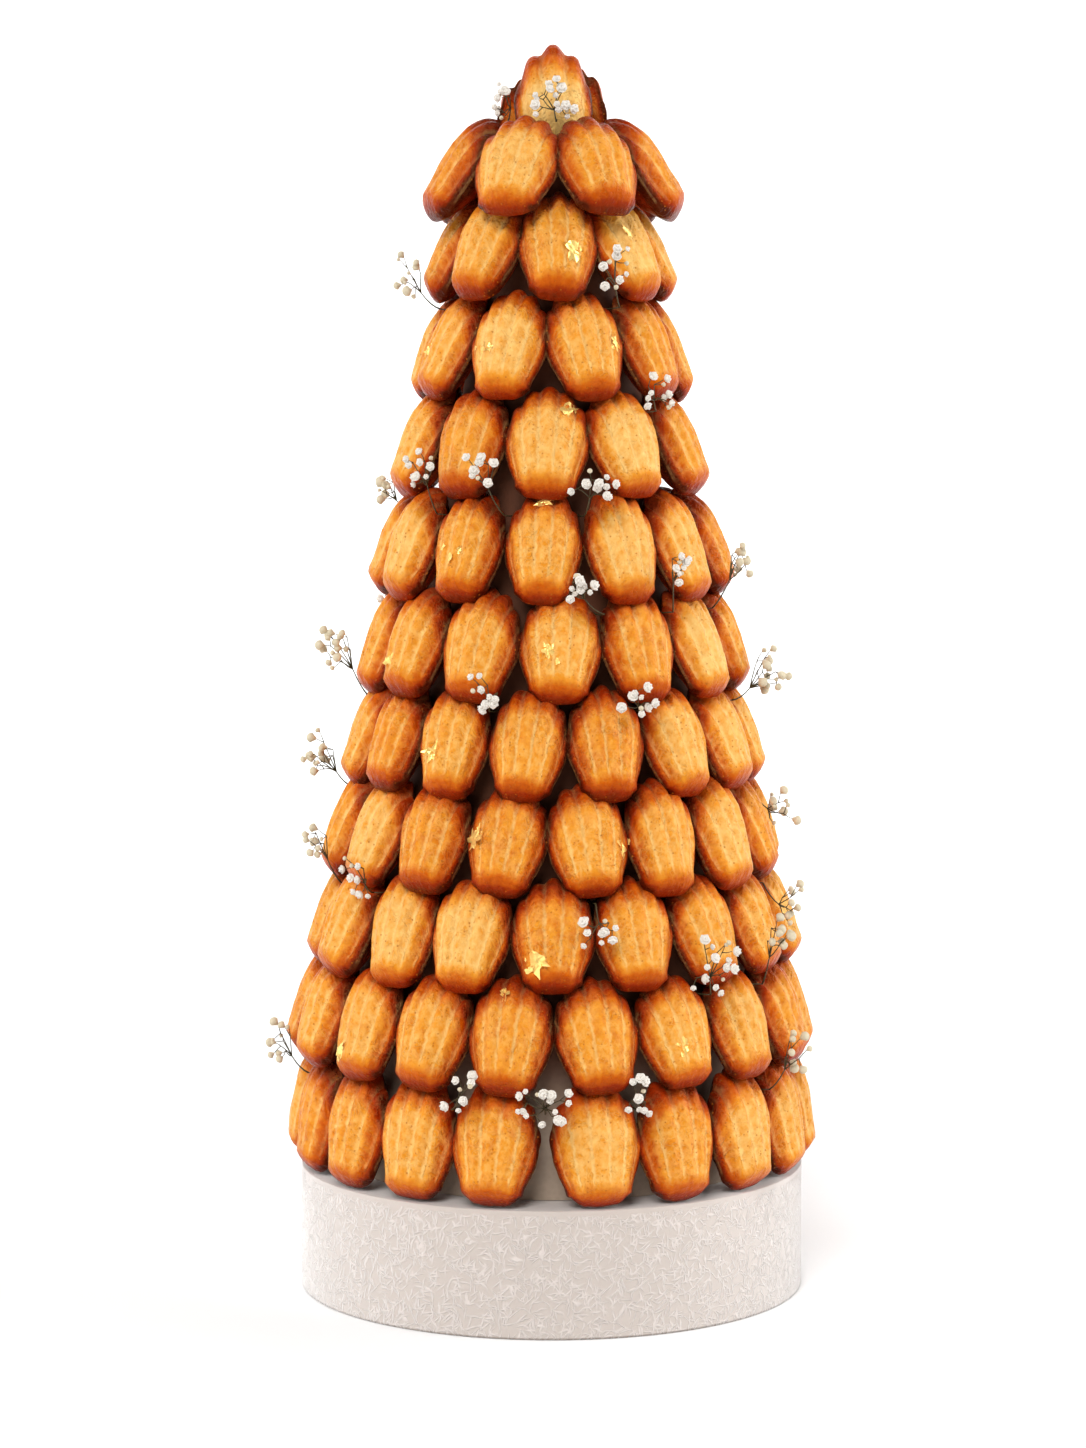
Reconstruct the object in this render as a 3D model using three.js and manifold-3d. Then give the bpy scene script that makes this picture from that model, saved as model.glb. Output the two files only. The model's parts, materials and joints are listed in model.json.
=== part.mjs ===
// A madeleine tower: rows of shell-shaped cakes leaning on a white cone that stands on a
// paper-covered drum, with three cakes as a crown, sprigs of baby's breath in the gaps and flakes
// of gold leaf on some cakes.
// Millimetres, +Z up, origin at the centre of the drum's underside, front towards -Y.
import * as THREE from "three";
import { mergeVertices } from "three/addons/utils/BufferGeometryUtils.js";
import Module from "manifold-3d";

// Driving dimensions
const CLEARANCE = 0.3; // between pieces that rest on each other

const DRUM = { radius: 152.5, height: 75, sides: 44 };

const CONE = {
  footRadius: 124, // the straight foot behind the bottom row
  footHeight: 90,
  topRadius: 29,
  topHeight: 671, // above the floor
  sides: 32,
};

const CAKE = {
  length: 70,
  width: 47.5, // at the widest place
  hingeShare: 0.62, // width of the blunt lower end, as a share of the width
  widestAt: 0.54, // share of the length above the blunt end
  shellHeight: 18, // rim to crest, on the ribbed side
  hingeHeight: 9, // thickness of the shell at the blunt end
  humpHeight: 14, // rim to hump, on the back
  ribs: 7,
  ribDepth: 2,
  scallop: 1.6, // how far the rim swells at the end of each rib
};

// Rows from the bottom up: number of cakes, azimuth of the first one (0 faces the front, + is to
// the right), arc that the row spreads over, height of the cakes' middle and lean towards the axis.
// Each sprig is the cake after which it comes out, counted from the first, and how far its flowers
// sit to the right of and above that gap. The large ones are named by their gap again.
const ROWS = [
  {
    cakes: 18, first: 10.3, arc: 336.5, height: 110.2, tilt: 10, large: [17],
    sprigs: [[0, -8, 11], [2, 0, 18], [6, 0, 8], [10, 0, 8], [13, 0, 15], [16, 13, 13], [17, 0, 7]],
  },
  {
    cakes: 18, first: 10.6, arc: 360, height: 173, tilt: 19, large: [1],
    sprigs: [[1, -14, 18], [2, -16, 26], [7, 0, 8], [11, 0, 8]],
  },
  {
    cakes: 17, first: 0.5, arc: 360, height: 229, tilt: 21, large: [],
    sprigs: [[0, 0, -14], [3, 0, -18], [9, 0, 8], [13, 8, 22], [14, 8, 9]],
  },
  {
    cakes: 16, first: 9.8, arc: 360, height: 282.8, tilt: 21, large: [11],
    sprigs: [[3, 0, -18], [6, 0, 8], [11, 0, 13]],
  },
  {
    cakes: 15, first: 16.5, arc: 360, height: 337.6, tilt: 21, large: [2, 10],
    sprigs: [[0, -12, 4], [2, 8, 10], [7, 0, 8], [10, 0, 24], [13, 5, 10]],
  },
  {
    cakes: 13, first: 3.2, arc: 360, height: 393, tilt: 21, large: [],
    sprigs: [[0, -22, 14], [1, -15, 26], [2, 3, 24], [5, 0, 8], [8, 0, 8]],
  },
  {
    cakes: 12, first: 27, arc: 360, height: 450, tilt: 22, large: [],
    sprigs: [[4, 0, 8], [7, 0, 8], [9, 4, 25], [10, -9, 22], [11, 1, 15]],
  },
  {
    cakes: 10, first: -2, arc: 360, height: 510, tilt: 22, large: [],
    sprigs: [[1, -22, 9], [5, 0, 8]],
  },
  {
    cakes: 9, first: 17, arc: 360, height: 567, tilt: 23, large: [], above: 25, reach: 26,
    sprigs: [[0, -18, 20], [3, 0, 8], [6, 0, 14]],
  },
  { cakes: 8, first: 3.5, arc: 360, height: 624.4, tilt: 26, large: [], sprigs: [] },
  {
    cakes: 7, first: 29, arc: 360, height: 671, tilt: 33, large: [6], above: 34.5, root: 3, reach: 2,
    sprigs: [[5, 5, 10], [6, -2, 8]],
  },
];
const BOTTOM_ROW_RADIUS = 140;
const TOP_ROW_RADIUS = 52;
const TOUCH = 1.05; // a cake's width over its share of the row, so that neighbours press together

const CROWN = [
  { name: "crown_front", azimuth: 3.5, radius: 12.5, aside: 0, tilt: 2, roll: 0, size: 1.07 },
  { name: "crown_left", azimuth: -155, radius: 12, aside: 14, tilt: 0, roll: 0, size: 0.78 },
  { name: "crown_right", azimuth: 155, radius: 12, aside: -12.1, tilt: 0, roll: 0, size: 0.88 },
];
const CROWN_WIDTH = 0.88; // crown cakes are narrower than the others,
const CROWN_DEPTH = 0.85; // thinner, and
const CROWN_HUMP = 4; // nearly flat at the back

const SPRIG = {
  stem: 1.5, // thickness, more than the real stem's so that it can be made
  bloom: 6.4, // width of a flower
  above: 21, // place of the stem above the middle of the cakes that it comes out between
  mouth: 0.55, // how far the stem runs straight out, as a share of its reach
  reach: 22, // how far in front of the rims it forks
  fork: 0.7, // place of the fork, as a share of the way to the flowers
};

// Gold leaf: row and cake counted from 0, place across and up the cake from its middle, and size
const FLAKE = { length: 7.5, width: 3.2, thickness: 2 };
const FLAKES = [
  { row: 9, cake: 0, across: 8, up: -10, size: 1.2 },
  { row: 8, cake: 8, across: -12, up: -9, size: 1.1 },
  { row: 7, cake: 0, across: 11, up: 17, size: 1.1 },
  { row: 3, cake: 15, across: -17, up: -3, size: 1.5 },
  { row: 2, cake: 0, across: -9, up: -18, size: 1.6 },
  { row: 1, cake: 17, across: -4, up: 21, size: 1.1 },
  { row: 7, cake: 5, across: -7, up: 6, size: 1.1 },
];

// Uneven baking and stacking: largest departures from the regular cake and place
const UNEVEN = { turn: 0.35, roll: 5, lean: 1.2, length: 0.03, width: 0.015, height: 0.07 };

const wasm = await Module();
wasm.setup();

const rad = THREE.MathUtils.degToRad;

// A number from -1 to 1 that is always the same for the same row, place and trait.
function uneven(row, place, trait) {
  const wave = Math.sin(row * 127.1 + place * 311.7 + trait * 74.7) * 43758.5453;
  return 2 * (wave - Math.floor(wave)) - 1;
}

function coneRadius(height) {
  const footTop = DRUM.height + CONE.footHeight;
  if (height <= footTop) return CONE.footRadius;
  const share = (height - footTop) / (CONE.topHeight - footTop);
  return THREE.MathUtils.lerp(CONE.footRadius, CONE.topRadius, share);
}

// Solids
function solidOf(geometry) {
  const bare = geometry.clone();
  bare.deleteAttribute("normal");
  bare.deleteAttribute("uv");
  const merged = mergeVertices(bare, 1e-4);
  return new wasm.Manifold(
    new wasm.Mesh({
      numProp: 3,
      vertProperties: merged.attributes.position.array,
      triVerts: new Uint32Array(merged.index.array),
    }),
  );
}

function geometryOf(solid) {
  const { vertProperties, triVerts } = solid.getMesh();
  const geometry = new THREE.BufferGeometry();
  geometry.setAttribute("position", new THREE.BufferAttribute(vertProperties, 3));
  geometry.setIndex(new THREE.BufferAttribute(triVerts, 1));
  geometry.computeVertexNormals();
  return geometry;
}

function mesh(name, geometry, material) {
  const made = new THREE.Mesh(geometry, material);
  made.name = name;
  return made;
}

// The cake: half its width at a height above the blunt end, given as a share of the length
function halfWidth(share) {
  const rise = Math.min(1, share / CAKE.widestAt);
  const swell = Math.sin((rise * Math.PI) / 2);
  return (CAKE.width / 2) * THREE.MathUtils.lerp(CAKE.hingeShare, 1, swell);
}

// Height of the rim's top edge at a place across the width, from -1 to 1
function rimTop(across) {
  const widest = (CAKE.widestAt - 0.5) * CAKE.length;
  return widest + (CAKE.length / 2 - widest) * Math.sqrt(1 - Math.abs(across) ** 2.2);
}

// Triangles between two rows of points that run the same way, the second one further along
function zip(faces, lower, upper) {
  let i = 0;
  let j = 0;
  while (i < lower.length - 1 || j < upper.length - 1) {
    const nextLower = (i + 1) / (lower.length - 1);
    const nextUpper = (j + 1) / (upper.length - 1);
    const useLower = j === upper.length - 1 || (i < lower.length - 1 && nextLower <= nextUpper);
    const corner = useLower ? lower[i + 1] : upper[j + 1];
    const face = [lower[i], corner, upper[j]];
    if (new Set(face).size === 3) faces.push(face);
    if (useLower) i += 1;
    else j += 1;
  }
}

// One cake, ribbed side towards +Z, blunt end down, its rim in the plane z = 0
function cakeGeometry(humpHeight) {
  const points = [];
  const faces = [];
  const add = (x, y, z) => points.push(new THREE.Vector3(x, y, z)) - 1;
  const half = CAKE.length / 2;
  const foot = halfWidth(0);

  // The blunt end: a corner, three points along its front edge, a corner
  const end = [
    add(-foot, -half, 0),
    add(-foot * 0.82, -half + 2, CAKE.hingeHeight * 0.8),
    add(0, -half + 1, CAKE.hingeHeight),
    add(foot * 0.82, -half + 2, CAKE.hingeHeight * 0.8),
    add(foot, -half, 0),
  ];
  const lowShare = 0.24;
  const lowY = (lowShare - 0.5) * CAKE.length;
  const lowLeft = add(-halfWidth(lowShare), lowY, 0);
  const lowRight = add(halfWidth(lowShare), lowY, 0);
  for (let k = 1; k < 4; k += 1) faces.push([end[4], end[k], end[k - 1]]);

  // Across the middle: crests at even steps from the centre line, valleys at odd ones
  const steps = CAKE.ribs - 1;
  const middleShare = 0.5;
  const middleY = (middleShare - 0.5) * CAKE.length;
  const middleHalf = halfWidth(middleShare);
  const sideLeft = add(-CAKE.width / 2, middleY, 0);
  const middle = [sideLeft];
  for (let k = -steps; k <= steps; k += 1) {
    const across = k / CAKE.ribs;
    const dome = CAKE.shellHeight * Math.sqrt(1 - 0.86 * across * across);
    const valley = k % 2 === 0 ? 0 : CAKE.ribDepth;
    middle.push(add(across * middleHalf, middleY, dome - valley));
  }
  const sideRight = add(CAKE.width / 2, middleY, 0);
  middle.push(sideRight);

  // Along the rim: swellings at even steps, notches at odd ones
  const rim = [sideLeft];
  for (let k = 2 - steps; k <= steps - 2; k += 1) {
    const across = k / steps;
    const swell = k % 2 === 0 ? CAKE.scallop : -CAKE.scallop / 2;
    const reach = 1 + swell / CAKE.length;
    rim.push(add((across * reach * CAKE.width) / 2, rimTop(across) + swell / 2, 0));
  }
  rim.push(sideRight);

  zip(faces, [lowLeft, ...end, lowRight], middle);
  zip(faces, middle, rim);

  const hump = add(0, 0, -humpHeight);
  const outline = [end[0], lowLeft, ...rim, lowRight, end[4]];
  outline.forEach((corner, k) => faces.push([hump, corner, outline[(k + 1) % outline.length]]));

  const geometry = new THREE.BufferGeometry().setFromPoints(points);
  geometry.setIndex(faces.flat());
  return geometry;
}

// A cake's place: its rim's middle at a radius and height, leaning in by tilt, turned by roll, and
// for the crown beside the line that it faces along
function cakePlace({ azimuth, radius, aside = 0, height, tilt, roll, scale }) {
  const turn = rad(azimuth);
  const upright = new THREE.Matrix4().makeRotationX(Math.PI / 2);
  const place = new THREE.Matrix4().makeTranslation(aside, -radius, height);
  return new THREE.Matrix4()
    .makeRotationZ(turn)
    .multiply(place)
    .multiply(new THREE.Matrix4().makeRotationX(-rad(tilt)))
    .multiply(upright)
    .multiply(new THREE.Matrix4().makeRotationZ(-rad(roll)))
    .multiply(new THREE.Matrix4().makeScale(scale.x, scale.y, scale.z));
}

// Radius of the rim plane of a cake whose hump sits on the cone
function seatRadius(height, tilt, hump) {
  const lean = rad(tilt);
  return coneRadius(height - hump * Math.sin(lean)) + hump * Math.cos(lean) + CLEARANCE;
}

function rowStep(row) {
  return row.arc / (row.arc < 360 ? row.cakes - 1 : row.cakes);
}

function rowRadius(index, tilt = ROWS[index].tilt, hump = CAKE.humpHeight) {
  if (index === 0) return BOTTOM_ROW_RADIUS;
  if (index === ROWS.length - 1) return TOP_ROW_RADIUS;
  return seatRadius(ROWS[index].height, tilt, hump);
}

function rowPlaces(row, index) {
  const bottom = index === 0;
  const step = rowStep(row);
  const share = 2 * rowRadius(index) * Math.tan(rad(step / 2));
  return Array.from({ length: row.cakes }, (_, place) => {
    const tilt = row.tilt + UNEVEN.lean * uneven(index, place, 2);
    const scale = new THREE.Vector3(
      ((share * TOUCH) / CAKE.width) * (1 + UNEVEN.width * uneven(index, place, 4)),
      bottom ? 1 : 1 + UNEVEN.length * uneven(index, place, 5),
      1 + UNEVEN.height * uneven(index, place, 6),
    );
    return {
      azimuth: row.first + step * place + UNEVEN.turn * uneven(index, place, 1),
      radius: rowRadius(index, tilt, CAKE.humpHeight * scale.z),
      height: row.height,
      tilt,
      roll: (bottom ? 0.3 : 1) * UNEVEN.roll * uneven(index, place, 3),
      scale,
    };
  });
}

function placedCake(cake, place) {
  return cake.transform(cakePlace(place).elements);
}

// A flake of gold leaf, half sunk in the ribbed side of a cake at a place on it
function flakeSolid(geometry, { across, up, size }) {
  const above = new THREE.Vector3(across, up, CAKE.length);
  const ray = new THREE.Raycaster(above, new THREE.Vector3(0, 0, -1));
  const [{ point, face }] = ray.intersectObject(new THREE.Mesh(geometry));
  const lie = new THREE.Quaternion().setFromUnitVectors(new THREE.Vector3(0, 0, 1), face.normal);
  const flake = new THREE.BoxGeometry(FLAKE.width * size, FLAKE.length * size, FLAKE.thickness);
  return solidOf(flake.applyQuaternion(lie).translate(...point));
}

// Height of the middle of a crown cake, whose blunt end stands on the cone's tip
function crownHeight({ tilt, size }) {
  return CONE.topHeight + CLEARANCE + (CAKE.length / 2) * Math.cos(rad(tilt)) * size;
}

function drumGeometry() {
  const { radius, height } = DRUM;
  const profile = [
    [0, 0],
    [radius, 0],
    [radius, height],
    [0, height],
  ];
  return turned(profile, DRUM.sides);
}

function coneGeometry() {
  const base = DRUM.height + CLEARANCE;
  const profile = [
    [0, base],
    [CONE.footRadius, base],
    [CONE.footRadius, DRUM.height + CONE.footHeight],
    [CONE.topRadius, CONE.topHeight],
    [0, CONE.topHeight],
  ];
  return turned(profile, CONE.sides);
}

// A profile of [radius, height] points turned about the Z axis
function turned(profile, sides) {
  const points = profile.map(([radius, height]) => new THREE.Vector2(radius, height));
  return new THREE.LatheGeometry(points, sides).rotateX(Math.PI / 2);
}

// Where a sprig comes out: azimuth of the gap between the tops of two cakes, and the level of it
function gapAfter(index, gap) {
  const row = ROWS[index];
  const places = rowPlaces(row, index);
  const lean = rad(row.tilt);
  const above = row.above ?? SPRIG.above;
  const radius = rowRadius(index) - above * Math.sin(lean);
  const topAzimuth = ({ azimuth, roll }) =>
    azimuth + THREE.MathUtils.radToDeg((above * Math.sin(rad(roll))) / radius);
  const before = topAzimuth(places[gap]);
  const after = topAzimuth(places[(gap + 1) % row.cakes]);
  const across = ((after - before) % 360 + 360) % 360;
  return { azimuth: before + across / 2, radius, height: row.height + above * Math.cos(lean) };
}

// A sprig: a three-sided stem from the cone that ends in three branches, each with a bloom
function sprigGeometry(index, [gap, right, rise]) {
  const { azimuth, radius, height } = gapAfter(index, gap);
  const turn = new THREE.Matrix4().makeRotationZ(rad(azimuth));
  const at = (out, aside, up) =>
    new THREE.Vector3(aside, -(radius + out), height + up).applyMatrix4(turn);
  const points = [];
  const faces = [];
  const join = (lower, upper) => {
    for (let k = 0; k < 3; k += 1) {
      const next = (k + 1) % 3;
      faces.push([lower[k], lower[next], upper[next]], [lower[k], upper[next], upper[k]]);
    }
  };
  const triangle = (out, aside, up) =>
    [30, 150, 270].map((angle) => {
      const right = aside + (SPRIG.stem / 2) * Math.cos(rad(angle));
      return points.push(at(out, right, up + (SPRIG.stem / 2) * Math.sin(rad(angle)))) - 1;
    });
  // Three points around a centre that stay in line with the three corners of a face
  const around = (centre, along, corners, size) => {
    const middle = corners.reduce((sum, k) => sum.add(points[k]), new THREE.Vector3());
    middle.divideScalar(3);
    return corners.map((k) => {
      const out = points[k].clone().sub(middle).projectOnPlane(along).setLength(size);
      return points.push(centre.clone().add(out)) - 1;
    });
  };

  const { root: depth = radius, reach = SPRIG.reach, large } = ROWS[index];
  const size = large.includes(gap) ? 1.5 : 1;
  const root = triangle(Math.max(coneRadius(height) + 2 * CLEARANCE - radius, -depth), 0, 0);
  const mouth = triangle(SPRIG.mouth * reach, 0, 0);
  const neck = triangle(reach, SPRIG.fork * right, SPRIG.fork * rise);
  const hub = points.push(at(reach + SPRIG.stem, SPRIG.fork * right, SPRIG.fork * rise)) - 1;
  faces.push([root[2], root[1], root[0]]);
  join(root, mouth);
  join(mouth, neck);
  for (let k = 0; k < 3; k += 1) {
    const corners = [neck[k], neck[(k + 1) % 3], hub];
    const side = [0, -1, 1][k];
    const aside = 8 * side + 3 * uneven(index, gap, 7 + k);
    const up = 6 - 9 * Math.abs(side) + 3 * uneven(index, gap, 11 + k);
    const out = 7 + 3 * uneven(index, gap, 15 + k);
    const bloom = at(reach + size * out, right + size * aside, rise + size * up);
    const along = bloom.clone().sub(points[hub]).normalize();
    const stalk = bloom.clone().addScaledVector(along, -SPRIG.bloom / 2);
    const thin = around(stalk, along, corners, SPRIG.stem / 2);
    const wide = around(bloom, along, corners, SPRIG.bloom / 2);
    const tip = points.push(bloom.clone().addScaledVector(along, SPRIG.bloom / 3)) - 1;
    join(corners, thin);
    join(thin, wide);
    for (let n = 0; n < 3; n += 1) faces.push([wide[n], wide[(n + 1) % 3], tip]);
  }
  const geometry = new THREE.BufferGeometry().setFromPoints(points);
  geometry.setIndex(faces.flat());
  return geometry;
}

// Materials
const paper = new THREE.MeshStandardMaterial({ color: "#e9e2dc", roughness: 0.6, metalness: 0 });
const foam = new THREE.MeshStandardMaterial({ color: "#efe9e2", roughness: 0.9, metalness: 0 });
const crust = new THREE.MeshStandardMaterial({ color: "#d98a3a", roughness: 0.6, metalness: 0 });
const petals = new THREE.MeshStandardMaterial({ color: "#efe6d8", roughness: 0.8, metalness: 0 });

// Assembly
const tower = new THREE.Group();
tower.add(mesh("drum", drumGeometry(), paper));
tower.add(mesh("cone", coneGeometry(), foam));

const shell = cakeGeometry(CAKE.humpHeight);
const cake = solidOf(shell);
ROWS.forEach((row, index) => {
  const number = String(index + 1).padStart(2, "0");
  const cakes = rowPlaces(row, index).map((place, k) => {
    const flakes = FLAKES.filter((flake) => flake.row === index && flake.cake === k);
    const topped = flakes.reduce((joined, flake) => joined.add(flakeSolid(shell, flake)), cake);
    return placedCake(topped, place);
  });
  const ring = cakes.reduce((joined, next) => joined.add(next));
  tower.add(mesh("row_" + number, geometryOf(ring), crust));
  row.sprigs.forEach((sprig, k) => {
    tower.add(mesh(`sprig_${number}_${k + 1}`, sprigGeometry(index, sprig), petals));
  });
});

const slimCake = solidOf(cakeGeometry(CROWN_HUMP));
for (const one of CROWN) {
  const scale = new THREE.Vector3(one.size * CROWN_WIDTH, one.size, one.size * CROWN_DEPTH);
  const place = { ...one, height: crownHeight(one), scale };
  tower.add(mesh(one.name, geometryOf(placedCake(slimCake, place)), crust));
}

export default tower;
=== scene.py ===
"""Madeleine tower: rows of shell-shaped sponge cakes round a foam cone on a paper-covered drum,
with a crown of three cakes, sprigs of baby's breath and flakes of gold leaf."""

import json
import math

import bmesh
import bpy
from bpy.props import FloatProperty, FloatVectorProperty, IntProperty, PointerProperty
from bpy.types import Operator, Panel, PropertyGroup
from mathutils import Matrix, Vector

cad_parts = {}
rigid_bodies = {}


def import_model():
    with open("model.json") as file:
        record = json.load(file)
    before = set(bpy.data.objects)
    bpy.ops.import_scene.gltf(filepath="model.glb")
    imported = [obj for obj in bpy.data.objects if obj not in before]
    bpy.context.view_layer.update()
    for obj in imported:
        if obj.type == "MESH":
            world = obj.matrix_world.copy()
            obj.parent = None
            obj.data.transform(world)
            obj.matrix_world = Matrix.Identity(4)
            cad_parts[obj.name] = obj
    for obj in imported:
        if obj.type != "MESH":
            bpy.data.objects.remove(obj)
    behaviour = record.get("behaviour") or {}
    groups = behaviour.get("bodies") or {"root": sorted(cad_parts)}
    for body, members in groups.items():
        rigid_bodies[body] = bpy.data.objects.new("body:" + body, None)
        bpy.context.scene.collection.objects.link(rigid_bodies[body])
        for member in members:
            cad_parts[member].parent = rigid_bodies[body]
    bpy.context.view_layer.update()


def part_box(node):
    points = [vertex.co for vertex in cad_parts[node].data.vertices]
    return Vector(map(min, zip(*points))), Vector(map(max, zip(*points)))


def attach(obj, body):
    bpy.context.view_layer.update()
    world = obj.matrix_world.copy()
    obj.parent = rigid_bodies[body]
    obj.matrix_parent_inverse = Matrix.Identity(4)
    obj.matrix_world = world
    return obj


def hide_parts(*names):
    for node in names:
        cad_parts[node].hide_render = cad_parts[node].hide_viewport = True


bl_info = {
    "name": "Madeleine Tower",
    "version": (1, 0, 0),
    "blender": (4, 5, 0),
    "location": "View3D > Sidebar > Madeleine Tower",
    "description": "Models a madeleine tower on its drum, with its stage",
    "category": "Add Mesh",
}

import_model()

MM = 0.001
CLEARANCE = 0.3  # between pieces that rest on each other, in mm
CLOSE = 1e-3  # attributes of points that are closer than this are the same
SMOOTH = {"interpolation_type": "SMOOTHSTEP"}  # for a change that eases in and out

# Lines across a cake, as shares of its length above the blunt end, one of them the edge of its lip
LIP = 0.15
CAKE_LINES = (0, 0.06, LIP, 0.19, 0.27, 0.38, 0.5, 0.63, 0.75, 0.85, 0.92, 0.97, 1)

# Rows from the bottom up: number of cakes, azimuth of the first (0 faces the front, + is to the
# right), arc that they spread over, height of their middle in mm, lean, gaps of the large sprigs,
# and the sprigs. A sprig is the cake after which it comes out, and how far its flowers sit to the
# right of and above that gap in mm.
ROWS = (
    (18, 10.3, 336.5, 110.2, 10, (17,), (
        (0, -8, 11), (2, 0, 18), (6, 0, 8), (10, 0, 8), (13, 0, 15), (16, 13, 13), (17, 0, 7),
    )),
    (18, 10.6, 360, 173, 19, (1,), ((1, -14, 18), (2, -16, 26), (7, 0, 8), (11, 0, 8))),
    (17, 0.5, 360, 229, 21, (), ((0, 0, -14), (3, 0, -18), (9, 0, 8), (13, 8, 22), (14, 8, 9))),
    (16, 9.8, 360, 282.8, 21, (11,), ((3, 0, -18), (6, 0, 8), (11, 0, 13))),
    (15, 16.5, 360, 337.6, 21, (2, 10), (
        (0, -12, 4), (2, 8, 10), (7, 0, 8), (10, 0, 24), (13, 5, 10),
    )),
    (13, 3.2, 360, 393, 21, (), ((0, -22, 14), (1, -15, 26), (2, 3, 24), (5, 0, 8), (8, 0, 8))),
    (12, 27, 360, 450, 22, (), ((4, 0, 8), (7, 0, 8), (9, 4, 25), (10, -9, 22), (11, 1, 15))),
    (10, -2, 360, 510, 22, (), ((1, -22, 9), (5, 0, 8))),
    (9, 17, 360, 567, 23, (), ((0, -18, 20), (3, 0, 8), (6, 0, 14))),
    (8, 3.5, 360, 624.4, 26, (), ()),
    (7, 29, 360, 671, 33, (6,), ((5, 5, 10), (6, -2, 8))),
)
TOP_ROW = len(ROWS) - 1
BOTTOM_ROW_RADIUS = 140  # to the rims, in mm
TOP_ROW_RADIUS = 52
BOTTOM_CAKES = (1.05, 1.03)  # the bottom row's cakes are wider and longer than the others
TOUCH = 1.04  # width of the cakes as a share of their spacing, so that neighbours press together
ROW_TOUCH = {9: 1.1, 10: 1.06}  # the same, in rows unlike the others
ROW_TONE = {10: 0.5}  # rows whose cakes are browner than the others

# Sprigs, in mm: how far above the middle of the cakes they come out, and how far in front of the
# rims they fork, for most rows and for rows unlike them
SPRIG_ABOVE = 21
ROW_ABOVE = {8: 25, 10: 34.5}
SPRIG_REACH = 22
ROW_REACH = {8: 26, 10: 2}
ROW_ROOT = {10: 3}  # rows whose sprigs start between the cakes, and not at the cone
SPRIG_MOUTH = 0.55  # how far a stem runs straight out, as a share of its reach
SPRIG_FORK = 0.7  # place of its fork, as a share of the way to the flowers
SIDE = 0.86  # sine of the azimuth past which a sprig shows at the side of the tower

# Petals of a flower, outer and inner ring: number, tilt, place outwards and upwards as shares of
# the flower's width
PETALS = ((5, 48, 0.2, 0.28), (4, 18, 0.1, 0.42))

# Crown cakes: name, the way that they face, radius along it and place beside it in mm, lean, width,
# length and height as shares of a cake's, and tone from pale to brown
CROWN = (
    ("crown_front", 3.5, 12.5, 0, 2, (0.98, 1.05, 0.91), -1.6),
    ("crown_left", -155, 12, 14, 0, (0.69, 0.78, 0.66), -2.1),
    ("crown_right", 155, 12, -12.1, 0, (0.77, 0.88, 0.75), -2.1),
)

# Gold leaf: row, cake, place across and up the cake in mm, and size
FLAKES = (
    (9, 0, 8, -10, 1.2),
    (9, 1, -8, 3, 0.8),
    (8, 8, -12, -9, 1.1),
    (8, 0, 16, -3, 0.8),
    (8, 7, -5, -10, 0.6),
    (7, 0, 11, 17, 1.1),
    (6, 11, -1, 24, 0.9),
    (6, 10, -3, -12, 1.0),
    (5, 11, -5, -15, 0.9),
    (5, 0, -6, -7, 1.0),
    (4, 13, -6, -10, 1.0),
    (3, 15, -17, -3, 1.5),
    (3, 0, 17, -7, 1.0),
    (2, 0, -9, -18, 1.6),
    (1, 17, -4, 21, 1.1),
    (1, 15, -6, -20, 0.9),
    (1, 1, -4, -12, 0.8),
    (9, 4, 4, -8, 1.0),
    (7, 5, -7, 6, 1.1),
    (6, 5, 9, -10, 0.9),
    (5, 6, -4, 12, 1.0),
    (4, 7, 8, -6, 1.2),
    (3, 8, -6, -12, 1.0),
    (2, 7, 5, 9, 1.3),
    (1, 8, -8, -4, 1.0),
    (0, 9, 6, -14, 1.0),
)
SHARDS = 2  # small bits of leaf beside each flake

# Soft lights: name, direction that the light comes from, spread in degrees and strength
LIGHTS = (
    ("key light", (-0.18, -0.68, 0.66), 32, 2.36),
    ("left light", (-0.95, 0.05, 0.25), 60, 1.6),
    ("right light", (0.95, 0.05, 0.25), 60, 2.7),
)
PICTURE_HEIGHT = 1448  # pixels
SENSOR_HEIGHT = 36  # mm


def linear(hex_colour):
    """The linear red, green and blue of an sRGB hex colour."""
    parts = [int(hex_colour[k : k + 2], 16) / 255 for k in (1, 3, 5)]
    return tuple(c / 12.92 if c <= 0.04045 else ((c + 0.055) / 1.055) ** 2.4 for c in parts)


def colour(label, hex_colour, words):
    return FloatVectorProperty(
        name=label, description=words, subtype="COLOR", size=3, min=0, max=1,
        default=linear(hex_colour),
    )


def length(label, millimetres, words):
    return FloatProperty(
        name=label, description=words, default=millimetres * MM, min=0, unit="LENGTH", precision=4
    )


class MADELEINE_PG_support(PropertyGroup):
    """The drum and the cone that carry the cakes"""

    drum_radius: length("Drum radius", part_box("drum")[1][0] / MM, "Radius of the round drum")
    drum_height: length("Drum height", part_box("drum")[1][2] / MM, "Height of the drum")
    cone_radius: length("Cone foot", 124, "Radius of the cone's straight foot")
    cone_foot: length("Foot height", 90, "Height of the straight foot above the drum")
    cone_tip: length("Cone tip", 29, "Radius of the cone's flat tip")
    cone_top: length("Cone height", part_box("cone")[1][2] / MM, "Height of the tip above the floor")


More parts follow.
